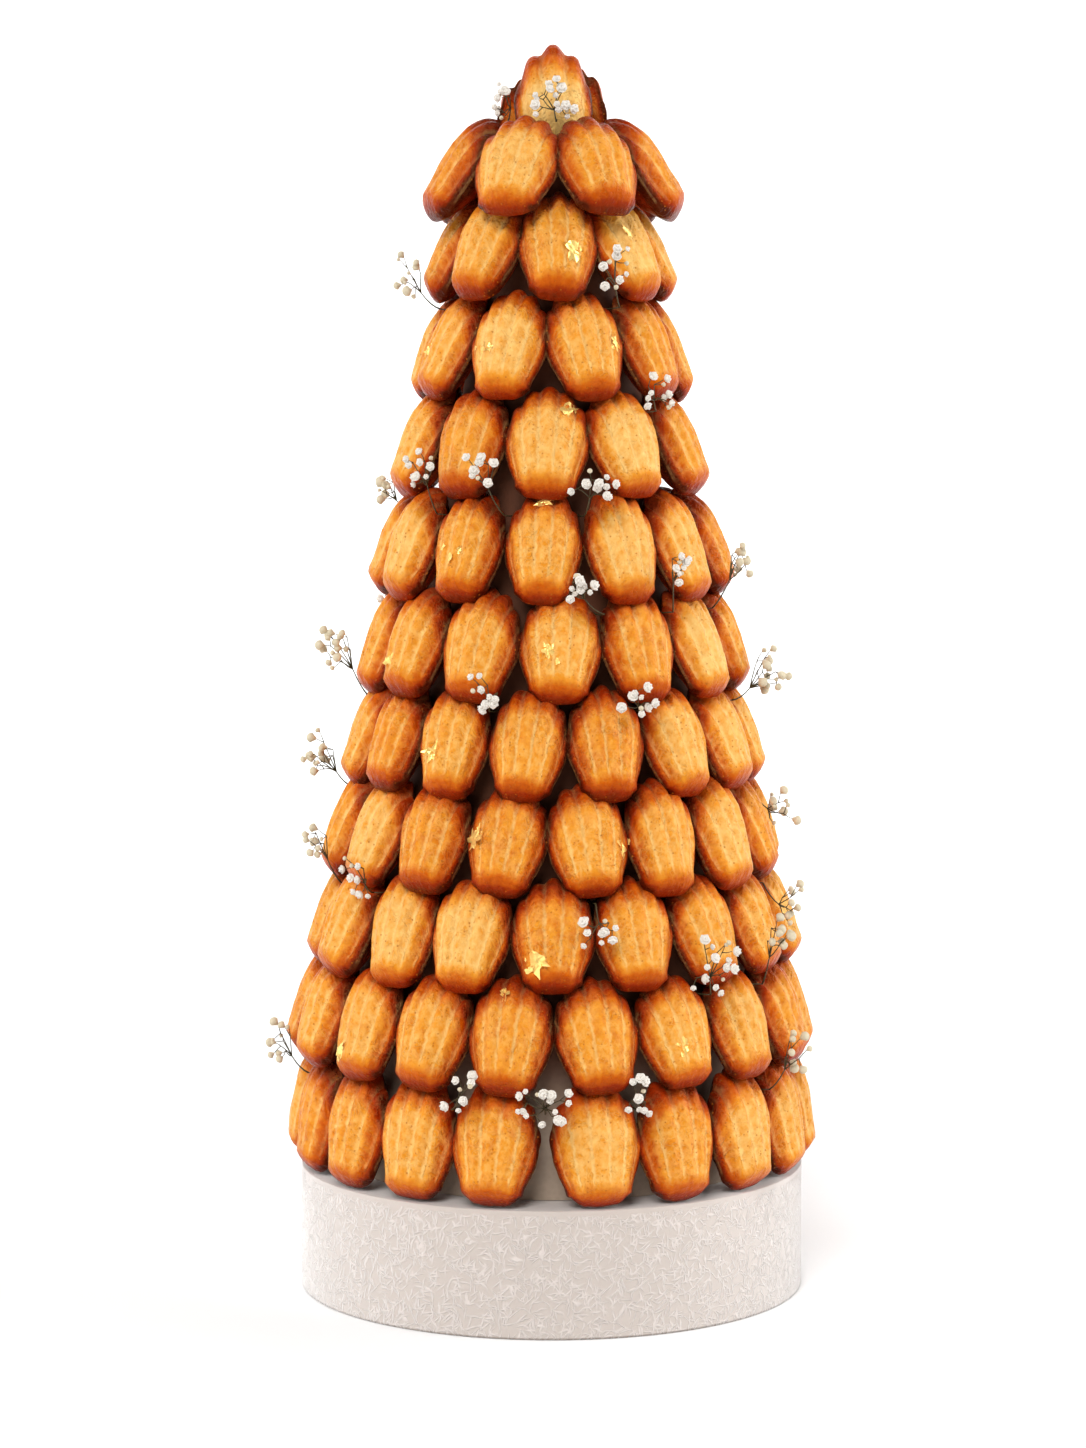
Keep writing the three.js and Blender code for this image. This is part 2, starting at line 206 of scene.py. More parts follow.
class MADELEINE_PG_cake(PropertyGroup):
    """One madeleine, before it is baked unevenly"""

    long: length("Length", 70, "From the blunt end to the scalloped end")
    wide: length("Width", 47.5, "At the widest place")
    shell: length("Shell height", 18, "From the rim to the crest of the ribbed side")
    hump: length("Hump height", 14, "From the rim to the hump on the back")
    crown_hump: length("Crown hump", 4, "Hump of the flatter cakes in the crown")
    rib: length("Rib depth", 2.7, "Depth of the valleys between the ribs")
    scallop: length("Scallop", 3.0, "How far the rim swells at the end of each rib")
    rim: length("Rim", 1.2, "Thickness of the rim")
    lumps: length("Lumps", 1.5, "Unevenness from baking, over a few centimetres")
    ripples: length("Ripples", 0.5, "Unevenness from baking, over a few millimetres")
    crown_scallop: length("Crown scallop", 4.0, "How far the rim swells on the crown's cakes")
    ribs: IntProperty(name="Ribs", description="Ribs on the shell side", default=7, min=3)
    crown_ribs: IntProperty(
        name="Crown ribs", description="Ribs of the crown's cakes", default=5, min=3
    )
    hinge_share: FloatProperty(
        name="Blunt end", description="Width of the blunt end as a share of the width",
        default=0.61, min=0.2, max=1, subtype="FACTOR",
    )
    widest_at: FloatProperty(
        name="Widest at", description="Share of the length above the blunt end",
        default=0.47, min=0.2, max=0.8, subtype="FACTOR",
    )


class MADELEINE_PG_trim(PropertyGroup):
    """Sprigs and gold leaf"""

    stem: length("Stem", 1.1, "Thickness of a sprig's main stem")
    bloom: length("Flower", 7.4, "Width of an open flower")
    bud: length("Bud", 6.0, "Width of a closed bud")
    flake: length("Gold flake", 9.5, "Length of a usual flake of gold leaf")


class MADELEINE_PG_finishes(PropertyGroup):
    """Colours"""

    # Crust colours from pale to brown; where the darker ones fall on the flanks and the lip they are
    # partly browning and partly painted shade
    crust_pale: colour("Crust, pale", "#F2C474", "Middle of the shell side")
    crust_gold: colour("Crust, golden", "#E39128", "Round the middle")
    crust_orange: colour("Crust, orange", "#C65807", "Lip and flanks")
    crust_amber: colour("Crust, amber", "#972601", "Towards the rim")
    crust_brown: colour("Crust, brown", "#4A0800", "Rim and back")
    # The seams' pale colour is partly lighter crust and partly a painted highlight; it also tints
    # the gloss
    seam: colour("Seam", "#FCD083", "Pale lines along the valleys between ribs")
    pore: colour("Pore", "#BC661E", "Small open pores")
    paper: colour("Paper", "#C3B7AE", "Ground of the embossed paper on the drum")
    # Painted highlight: the raised lines of the paper are lighter, to show their relief
    paper_fold_highlight: colour("Paper folds", "#D7CCC5", "Raised lines of the embossed paper")
    # Painted shadow: a dark line along the drum's foot, standing for its contact shadow on the floor
    paper_foot_shadow: colour("Paper foot", "#75614F", "Edge of the drum's foot")
    # The cone is white in itself: the beige of its foot and the brown between the rows are painted
    # shade
    foam: colour("Cone", "#BCA893", "The plain cone")
    foam_painted_shade: colour("Cone, upper part", "#66361A", "The cone between the rows")
    petal: colour("Petal", "#E8E1D7", "Open flowers")
    bud: colour("Bud", "#D8CBAE", "Closed buds")
    stem: colour("Stem", "#4A4020", "Stems of the sprigs")
    gold: colour("Gold leaf", "#FFD67A", "Flakes of gold leaf")


class MADELEINE_PG_stage(PropertyGroup):
    """Camera, floor and light"""

    distance: length("Distance", 2223, "From the camera to the tower's axis")
    eye: length("Eye height", 535.6, "Height of the camera above the floor")
    aside: length("Aside", 5.2, "How far the camera stands to the left")
    focal: FloatProperty(
        name="Focal length", description="In pixels of a picture 1448 pixels high", default=3688
    )
    horizon: FloatProperty(
        name="Horizon", description="Pixel row at the camera's height, from the top", default=400.7
    )


# Places of the cakes and sprigs, in millimetres


def uneven(row, place, trait):
    """A number from -1 to 1 that is always the same for the same row, place and trait."""
    wave = math.sin(row * 127.1 + place * 311.7 + trait * 74.7) * 43758.5453
    return 2 * (wave - math.floor(wave)) - 1


def cone_radius(support, height):
    foot_top = (support.drum_height + support.cone_foot) / MM
    wide = support.cone_radius / MM
    if height <= foot_top:
        return wide
    share = (height - foot_top) / (support.cone_top / MM - foot_top)
    return wide + (support.cone_tip / MM - wide) * share


def row_step(index):
    cakes, _, arc = ROWS[index][:3]
    return arc / (cakes - 1 if arc < 360 else cakes)


def row_radius(support, index, tilt, hump):
    """Radius of the rims: the hump of a cake sits on the cone, outside the first and last row."""
    if index == 0:
        return BOTTOM_ROW_RADIUS
    if index == TOP_ROW:
        return TOP_ROW_RADIUS
    lean = math.radians(tilt)
    at_hump = cone_radius(support, ROWS[index][3] - hump * math.sin(lean))
    return at_hump + hump * math.cos(lean) + CLEARANCE


def row_places(support, cake, index):
    """Azimuth, radius, height, tilt, roll and scale of every cake in a row."""
    cakes, first, _, height, tilt = ROWS[index][:5]
    step = row_step(index)
    hump = cake.hump / MM
    share = 2 * row_radius(support, index, tilt, hump) * math.tan(math.radians(step / 2))
    places = []
    # Each cake differs a little from the rule, as cakes set by hand do
    for place in range(cakes):
        lean = tilt + 1.2 * uneven(index, place, 2)
        thick = 1 + 0.07 * uneven(index, place, 6)
        wide, long = BOTTOM_CAKES if index == 0 else (1, 1 + 0.03 * uneven(index, place, 5))
        wide *= share * ROW_TOUCH.get(index, TOUCH) / (cake.wide / MM)
        wide *= 1 + 0.015 * uneven(index, place, 4)
        scale = (wide, long, thick)
        roll = (1.5 if index == 0 else 5) * uneven(index, place, 3)
        azimuth = first + step * place + 0.35 * uneven(index, place, 1)
        radius = row_radius(support, index, lean, hump * thick)
        rise = (long - 1) * cake.long / MM / 2 if index == 0 else 0
        places.append((azimuth, radius, height + rise, lean, roll, scale))
    return places


def crown_height(support, cake, tilt, size):
    """Height of the middle of a crown cake, whose blunt end stands on the cone's tip."""
    half = cake.long / MM / 2 * size
    return support.cone_top / MM + CLEARANCE + half * math.cos(math.radians(tilt))


def cake_matrix(azimuth, radius, height, tilt, roll, scale, aside=0):
    """Puts a cake that lies with its ribs up, blunt end towards -Y, in its place on the tower."""
    return (
        Matrix.Rotation(math.radians(azimuth), 4, "Z")
        @ Matrix.Translation((aside * MM, -radius * MM, height * MM))
        @ Matrix.Rotation(math.radians(90 - tilt), 4, "X")
        @ Matrix.Rotation(math.radians(-roll), 4, "Z")
        @ Matrix.Diagonal((*scale, 1))
    )


def sprig_gap(support, cake, index, gap):
    """Azimuth, radius and height of the gap between two cakes where a sprig comes out."""
    cakes, _, _, height, tilt = ROWS[index][:5]
    places = row_places(support, cake, index)
    lean = math.radians(tilt)
    above = ROW_ABOVE.get(index, SPRIG_ABOVE)
    radius = row_radius(support, index, tilt, cake.hump / MM) - above * math.sin(lean)
    tops = []
    for place in (gap, (gap + 1) % cakes):
        azimuth, roll = places[place][0], places[place][4]
        tops.append(azimuth + math.degrees(above * math.sin(math.radians(roll)) / radius))
    across = (tops[1] - tops[0]) % 360
    return tops[0] + across / 2, radius, height + above * math.cos(lean)


# Work on meshes and nodes


def deselect_all(context):
    if context.object and context.object.mode != "OBJECT":
        bpy.ops.object.mode_set(mode="OBJECT")
    bpy.ops.object.select_all(action="DESELECT")


def pick(mesh, test):
    """Selects the points of a mesh in edit mode that pass the test."""
    shape = bmesh.from_edit_mesh(mesh)
    for vert in shape.verts:
        vert.select = test(vert)
    shape.select_flush_mode()
    bmesh.update_edit_mesh(mesh)


def apply_modifiers(context, piece):
    deselect_all(context)
    piece.select_set(True)
    context.view_layer.objects.active = piece
    for modifier in list(piece.modifiers):
        bpy.ops.object.modifier_apply(modifier=modifier.name)


def roughen(piece, name, size, depth):
    """Adds a Displace modifier that moves the surface by up to half the depth each way."""
    texture = bpy.data.textures.new(name, "CLOUDS")
    texture.noise_scale = size
    texture.noise_depth = 1
    modifier = piece.modifiers.new(name, "DISPLACE")
    modifier.texture = texture
    modifier.texture_coords = "LOCAL"
    modifier.strength = depth


def join(context, pieces, name):
    deselect_all(context)
    for piece in pieces:
        piece.select_set(True)
    context.view_layer.objects.active = pieces[0]
    if len(pieces) > 1:
        bpy.ops.object.join()
    joined = context.view_layer.objects.active
    joined.name = name
    joined.data.name = name
    return joined


def mesh_piece(context, name, points, faces, material):
    """A piece from arrays of points and faces, for the many small things."""
    mesh = bpy.data.meshes.new(name)
    mesh.from_pydata(points, [], faces)
    mesh.materials.append(material)
    piece = bpy.data.objects.new(name, mesh)
    context.collection.objects.link(piece)
    return piece


def connect(tree, node, links):
    """Links or sets a node's inputs. A node given as the source gives its first output."""
    for socket, source in links.items():
        if isinstance(source, bpy.types.Node):
            source = source.outputs[0]
        if isinstance(source, bpy.types.NodeSocket):
            tree.links.new(source, node.inputs[socket])
        else:
            node.inputs[socket].default_value = source


def add_node(tree, kind, links=None, **settings):
    """Adds a node with its settings, and links or sets its inputs."""
    node = tree.nodes.new(kind)
    for key, value in settings.items():
        setattr(node, key, value)
    connect(tree, node, links or {})
    return node


def new_material(name):
    material = bpy.data.materials.new(name)
    material.use_nodes = True
    tree = material.node_tree
    return material, tree, tree.nodes["Principled BSDF"]


# Materials


def sponge_crust(finishes, name, back=False):
    """Baked sponge crust: satin golden skin with pores, wrinkles and pale seams between the ribs,
    the wrinkles lighter as a painted highlight, the seams partly lighter crust and partly a painted
    highlight; orange on the smooth lip at the blunt end and darker on the flanks, partly browning
    and partly painted shade; brown at the rim where the tin was hottest."""
    material, tree, shader = new_material(name)
    place = add_node(tree, "ShaderNodeTexCoord").outputs["Object"]
    across, along, rib, tone = (
        add_node(tree, "ShaderNodeAttribute", attribute_name=word).outputs["Fac"]
        for word in ("across", "along", "rib", "tone")
    )
    aside = add_node(tree, "ShaderNodeMath", {0: across}, operation="ABSOLUTE")

    # A place on the cake itself in metres, so that the skin's marks run along it
    right = add_node(tree, "ShaderNodeMath", {0: across, 1: 24 * MM}, operation="MULTIPLY")
    up = add_node(tree, "ShaderNodeMath", {0: along, 1: 40 * MM}, operation="MULTIPLY")
    on_cake = add_node(tree, "ShaderNodeCombineXYZ", {0: right, 1: up, 2: tone})

    # Unevenness: patches about 12 mm wide, dents 3 mm, grain 1.2 mm, and strokes of 3.4 mm that are
    # weaker on the lip
    patches, dents, grain, strokes = (
        add_node(
            tree, "ShaderNodeTexNoise",
            {"Vector": vector, "Scale": 1 / (millimetres * MM), "Detail": detail},
        )
        for vector, millimetres, detail in (
            (place, 12, 2.0), (place, 3, 1.5), (place, 1.2, 2.0), (on_cake, 3.4, 2.0),
        )
    )
    on_face = add_node(
        tree, "ShaderNodeMapRange", {0: along, 1: LIP - 0.03, 2: LIP + 0.06, 3: 0.4}, **SMOOTH
    )
    strokes = add_node(tree, "ShaderNodeMath", {0: strokes, 1: on_face}, operation="MULTIPLY")

    # Browning, from 0 for pale to 1 for dark: the flanks, the rim, the lip, the blunt end and the
    # scalloped end, then the unevenness and the cake's own tone. On the flanks, the lip and the
    # blunt end, which face away from the light, it is partly browning and partly painted shade.
    browning_and_shade = 0.24 if back else -0.17
    for value, start, full, most in (
        (aside, 0.42, 0.9, 0.42), (aside, 0.78, 1.0, 0.4), (along, LIP + 0.07, LIP - 0.05, 0.38),
        (along, 0.7 * LIP, 0.0, 0.35), (along, 0.66, 1.0, 0.6),
    ):
        browner = add_node(
            tree, "ShaderNodeMapRange", {0: value, 1: start, 2: full, 4: most}, **SMOOTH
        )
        browning_and_shade = add_node(tree, "ShaderNodeMath", {0: browner, 1: browning_and_shade}, operation="ADD")
    for value, weight in (
        (patches, 0.14), (strokes, 0.34), (dents, 0.14), (grain, 0.1), (tone, 0.1),
    ):
        browning_and_shade = add_node(
            tree, "ShaderNodeMath", {0: value, 1: weight, 2: browning_and_shade}, operation="MULTIPLY_ADD"
        )
    ramp = add_node(tree, "ShaderNodeValToRGB", {0: browning_and_shade})
    steps = ramp.color_ramp.elements
    steps[0].color = (*finishes.crust_pale, 1)
    steps[1].color = (*finishes.crust_brown, 1)
    for position, tint in (
        (0.22, finishes.crust_gold), (0.46, finishes.crust_orange), (0.7, finishes.crust_amber),
    ):
        step = steps.new(position)
        step.color = (*tint, 1)

    # Pale seams between the ribs, about 1 mm wide, which wander, break off and fade out at the lip;
    # their lightness is partly lighter crust in the valleys and partly a painted highlight
    sway = add_node(
        tree, "ShaderNodeTexNoise", {"Vector": place, "Scale": 1 / (5 * MM), "Detail": 2.0}
    )
    wander = add_node(tree, "ShaderNodeMath", {0: rib, 1: 0.18}, operation="SUBTRACT")
    wander = add_node(
        tree, "ShaderNodeMath", {0: sway, 1: 0.36, 2: wander}, operation="MULTIPLY_ADD"
    )
    valley = add_node(tree, "ShaderNodeMath", {0: wander, 1: 0.5}, operation="PINGPONG")
    seam = add_node(
        tree, "ShaderNodeMapRange", {0: valley, 1: 0.17, 2: 0.0, 4: 0.0 if back else 0.66}, **SMOOTH
    )
    for value, low, high, least in ((strokes, 0.28, 0.54, 0.2), (along, LIP, 0.24, 0.0)):
        share = add_node(
            tree, "ShaderNodeMapRange", {0: value, 1: low, 2: high, 3: least}, **SMOOTH
        )
        seam = add_node(tree, "ShaderNodeMath", {0: seam, 1: share}, operation="MULTIPLY")

    # Wrinkled skin: thin raised lines where a noise crosses its middle value, some along the cake
    # and some across it, stronger on some patches
    wrinkle = 0.0
    for vector, millimetres, width in ((on_cake, 4, 0.13), (place, 3.2, 0.11)):
        field = add_node(
            tree, "ShaderNodeTexNoise",
            {"Vector": vector, "Scale": 1 / (millimetres * MM), "Detail": 1.0},
        )
        off = add_node(tree, "ShaderNodeMath", {0: field, 1: 0.5}, operation="SUBTRACT")
        off = add_node(tree, "ShaderNodeMath", {0: off}, operation="ABSOLUTE")
        line = add_node(tree, "ShaderNodeMapRange", {0: off, 1: width, 2: 0.0}, **SMOOTH)
        wrinkle = add_node(tree, "ShaderNodeMath", {0: line, 1: wrinkle}, operation="MAXIMUM")
    patchy = add_node(
        tree, "ShaderNodeMapRange", {0: patches, 1: 0.35, 2: 0.6, 3: 0.25}, **SMOOTH
    )
    for share in (patchy, on_face):
        wrinkle = add_node(tree, "ShaderNodeMath", {0: wrinkle, 1: share}, operation="MULTIPLY")

    # Pores under 1 mm wide, in one of every few cells of 2.6 mm
    cells = add_node(tree, "ShaderNodeTexVoronoi", {"Vector": place, "Scale": 1 / (2.6 * MM)})
    chance = add_node(tree, "ShaderNodeSeparateColor", {0: cells.outputs["Color"]})
    chosen = add_node(tree, "ShaderNodeMath", {0: chance, 1: 0.72}, operation="GREATER_THAN")
    pore = add_node(
        tree, "ShaderNodeMapRange", {0: cells.outputs["Distance"], 1: 0.3, 2: 0.1, 4: 0.7}, **SMOOTH
    )
    pore = add_node(tree, "ShaderNodeMath", {0: pore, 1: chosen}, operation="MULTIPLY")

    # Seams and wrinkles are lighter, less so on darker crust: on the raised wrinkles a painted
    # highlight, on the seams partly lighter crust and partly a painted highlight
    paler_and_highlight = add_node(
        tree, "ShaderNodeMath", {0: wrinkle, 1: 0.24, 2: seam}, operation="MULTIPLY_ADD"
    )
    share = add_node(
        tree, "ShaderNodeMapRange", {0: browning_and_shade, 1: 0.12, 2: 0.62, 3: 1.0, 4: 0.15}, **SMOOTH
    )
    paler_and_highlight = add_node(tree, "ShaderNodeMath", {0: paler_and_highlight, 1: share}, operation="MULTIPLY")
    shade = ramp.outputs["Color"]
    for share, tint in ((paler_and_highlight, finishes.seam), (pore, finishes.pore)):
        shade = add_node(
            tree, "ShaderNodeMix", {0: share, 6: shade, 7: (*tint, 1)}, data_type="RGBA"
        ).outputs[2]

    height = add_node(tree, "ShaderNodeMath", {0: grain, 1: 0.25}, operation="MULTIPLY")
    for value, weight in (
        (strokes, 1.4), (dents, 1.0), (wrinkle, 0.5), (seam, 0.8), (pore, -0.4),
    ):
        height = add_node(
            tree, "ShaderNodeMath", {0: value, 1: weight, 2: height}, operation="MULTIPLY_ADD"
        )
    relief = add_node(
        tree, "ShaderNodeBump", {"Height": height, "Strength": 0.9, "Distance": 0.9 * MM}
    )
    gloss = add_node(
        tree, "ShaderNodeMapRange", {0: grain, 1: 0.3, 2: 0.7, 3: 0.3, 4: 0.45}, **SMOOTH
    )
    connect(tree, shader, {
        "Base Color": shade, "Roughness": gloss, "Normal": relief, "Specular IOR Level": 0.18,
        "Specular Tint": (*finishes.seam, 1),
    })
    return material


def embossed_paper(finishes, radius):
    """Wrapping paper embossed with fine crossing strokes, satin, brighter seen at a low angle; the
    strokes carry a painted highlight and the foot a painted contact shadow.
    """
    material, tree, shader = new_material("embossed paper")
    place = add_node(tree, "ShaderNodeTexCoord").outputs["Object"]
    x, y, z = add_node(tree, "ShaderNodeSeparateXYZ", {0: place}).outputs
    forward = add_node(tree, "ShaderNodeMath", {0: y, 1: -1.0}, operation="MULTIPLY")
    angle = add_node(tree, "ShaderNodeMath", {0: x, 1: forward}, operation="ARCTAN2")

    # The paper laid flat, and pulled up to 7 mm out of place so that the strokes on it are bent
    pull = add_node(
        tree, "ShaderNodeTexNoise", {"Vector": place, "Scale": 1 / (9 * MM), "Detail": 1.0}
    )
    pull = add_node(tree, "ShaderNodeMath", {0: pull, 1: 7 * MM}, operation="MULTIPLY")
    sideways = add_node(
        tree, "ShaderNodeMath", {0: angle, 1: radius, 2: pull}, operation="MULTIPLY_ADD"
    )
    upwards = add_node(tree, "ShaderNodeMath", {0: z, 1: pull}, operation="ADD")
    flat = add_node(tree, "ShaderNodeCombineXYZ", {0: sideways, 1: upwards})

    # Strokes about 8 mm long and 1.3 mm wide in six directions
    lines = 0.0
    for degrees in (8, 41, 77, -19, -52, -83):
        spot = add_node(
            tree, "ShaderNodeMapping",
            {"Vector": flat, "Rotation": (0, 0, math.radians(degrees)), "Scale": (7, 1, 1)},
            vector_type="TEXTURE",
        )
        cells = add_node(
            tree, "ShaderNodeTexVoronoi", {"Vector": spot, "Scale": 1 / (3.2 * MM)},
            voronoi_dimensions="2D",
        )
        line = add_node(tree, "ShaderNodeMapRange", {0: cells, 1: 0.24, 2: 0.06}, **SMOOTH)
        lines = add_node(tree, "ShaderNodeMath", {0: line, 1: lines}, operation="MAXIMUM")

    # The top and the band along its edge are plain; the strokes are painted lighter as a painted
    # highlight, and a painted contact shadow runs along the foot as a dark line
    below_band = add_node(
        tree, "ShaderNodeMapRange", {0: z, 1: 72.5 * MM, 2: 71.5 * MM}, **SMOOTH
    )
    lines = add_node(tree, "ShaderNodeMath", {0: lines, 1: below_band}, operation="MULTIPLY")
    # Painted contact shadow along the foot
    foot = add_node(
        tree, "ShaderNodeMapRange", {0: z, 1: 1.8 * MM, 2: 0.6 * MM, 4: 0.85}, **SMOOTH
    )
    shade = (*finishes.paper, 1)
    for share, tint in ((lines, finishes.paper_fold_highlight), (foot, finishes.paper_foot_shadow)):
        shade = add_node(
            tree, "ShaderNodeMix", {0: share, 6: shade, 7: (*tint, 1)}, data_type="RGBA"
        ).outputs[2]
    relief = add_node(
        tree, "ShaderNodeBump", {"Height": lines, "Strength": 0.9, "Distance": 0.5 * MM}
    )
    connect(tree, shader, {
        "Base Color": shade, "Normal": relief, "Roughness": 0.5, "Sheen Weight": 1.0,
        "Sheen Roughness": 0.55,
    })
    return material


def painted_foam(finishes):
    """Foam cone with a matt coat, white in itself, with 3 mm beads: beige at its foot and brown
    between the rows, both painted shade.
    """
    material, tree, shader = new_material("painted foam")
    place = add_node(tree, "ShaderNodeTexCoord").outputs["Object"]
    height = add_node(tree, "ShaderNodeSeparateXYZ", {0: place}).outputs[2]
    beads = add_node(tree, "ShaderNodeTexVoronoi", {"Vector": place, "Scale": 1 / (3 * MM)})
    # Painted shade: from 100 to 170 mm up, the cone turns from beige to brown, where the rows of
    # cakes shade it
    shaded = add_node(
        tree, "ShaderNodeMapRange", {0: height, 1: 100 * MM, 2: 170 * MM}, **SMOOTH
    )
    coat = add_node(
        tree, "ShaderNodeMix", {0: shaded, 6: (*finishes.foam, 1), 7: (*finishes.foam_painted_shade, 1)},
        data_type="RGBA",
    ).outputs[2]
    shade = add_node(
        tree, "ShaderNodeMix", {0: 0.12, 6: coat, 7: beads}, data_type="RGBA", blend_type="MULTIPLY"
    ).outputs[2]
    relief = add_node(
        tree, "ShaderNodeBump", {"Height": beads, "Strength": 0.15, "Distance": 0.3 * MM}
    )
    connect(tree, shader, {"Base Color": shade, "Normal": relief, "Roughness": 0.8})
    return material


def plant_tissue(name, tint, spread, roughness):
    """Petal, bud or stem: soft, slightly uneven in colour, with veins about 1.5 mm apart."""
    material, tree, shader = new_material(name)
    place = add_node(tree, "ShaderNodeTexCoord").outputs["Object"]
    veins = add_node(
        tree, "ShaderNodeTexNoise", {"Vector": place, "Scale": 1 / (1.5 * MM), "Detail": 2.0}
    )
    value = add_node(tree, "ShaderNodeMapRange", {0: veins, 1: 0.3, 2: 0.7, 3: 1.0 - spread})
    shade = add_node(
        tree, "ShaderNodeMix", {0: 1.0, 6: (*tint, 1), 7: value}, data_type="RGBA",
        blend_type="MULTIPLY",
    ).outputs[2]
    relief = add_node(
        tree, "ShaderNodeBump", {"Height": veins, "Strength": 0.2, "Distance": 0.3 * MM}
    )
    connect(tree, shader, {"Base Color": shade, "Normal": relief, "Roughness": roughness})
    return material


def gold_leaf(finishes):
    """Beaten gold: bright warm metal, crumpled about every 1.2 mm."""
    material, tree, shader = new_material("gold leaf")
    place = add_node(tree, "ShaderNodeTexCoord").outputs["Object"]
    crumple = add_node(
        tree, "ShaderNodeTexNoise", {"Vector": place, "Scale": 1 / (1.2 * MM), "Detail": 2.0}
    )
    relief = add_node(
        tree, "ShaderNodeBump", {"Height": crumple, "Strength": 0.5, "Distance": 0.3 * MM}
    )
    connect(tree, shader, {
        "Base Color": (*finishes.gold, 1), "Normal": relief, "Metallic": 0.5, "Roughness": 0.3,
    })
    return material


# Pieces


def column_place(aside):
    """Ribs are widest in the middle and crowd together at the sides."""
    return math.sin(aside * math.pi / 2)


def cake_rim(cake, aside, ribs, scallop):
    """Height of the scalloped rim above the blunt end, at a place from -1 to 1 across the ribs."""
    widest = cake.widest_at * cake.long
    rib = (aside + 1) * ribs / 2
    lowest = cake.long * 2
    for number in {math.floor(rib - 1e-4), math.floor(rib + 1e-4)}:
        if 0 <= number < ribs:
            middle = (2 * number + 1) / ribs - 1
            arch = math.sqrt(1 - column_place(aside) ** 2)
            shelf = math.sqrt(1 - column_place(middle) ** 2)
            lobe = math.sqrt(max(0.0, 1 - (2 * (rib - number) - 1) ** 2)) - 0.6
            step = arch + (shelf - arch) * 0.4
            lowest = min(lowest, widest + (cake.long - widest) * step + scallop * lobe * shelf)
    return lowest


def cake_dome(share):
    """Height of the shell along the cake as a share of its crest: a lip at the blunt end, then a
    long back that falls to the rim."""
    if share < LIP:
        return 0.15 + 0.75 * math.sin(share / LIP * math.pi / 2)
    if share < 0.5:
        return 0.9 + 0.1 * math.sin((share - LIP) / (0.5 - LIP) * math.pi / 2)
    return max(0.0, 1 - ((share - 0.5) / 0.5) ** 2.6) ** 0.62


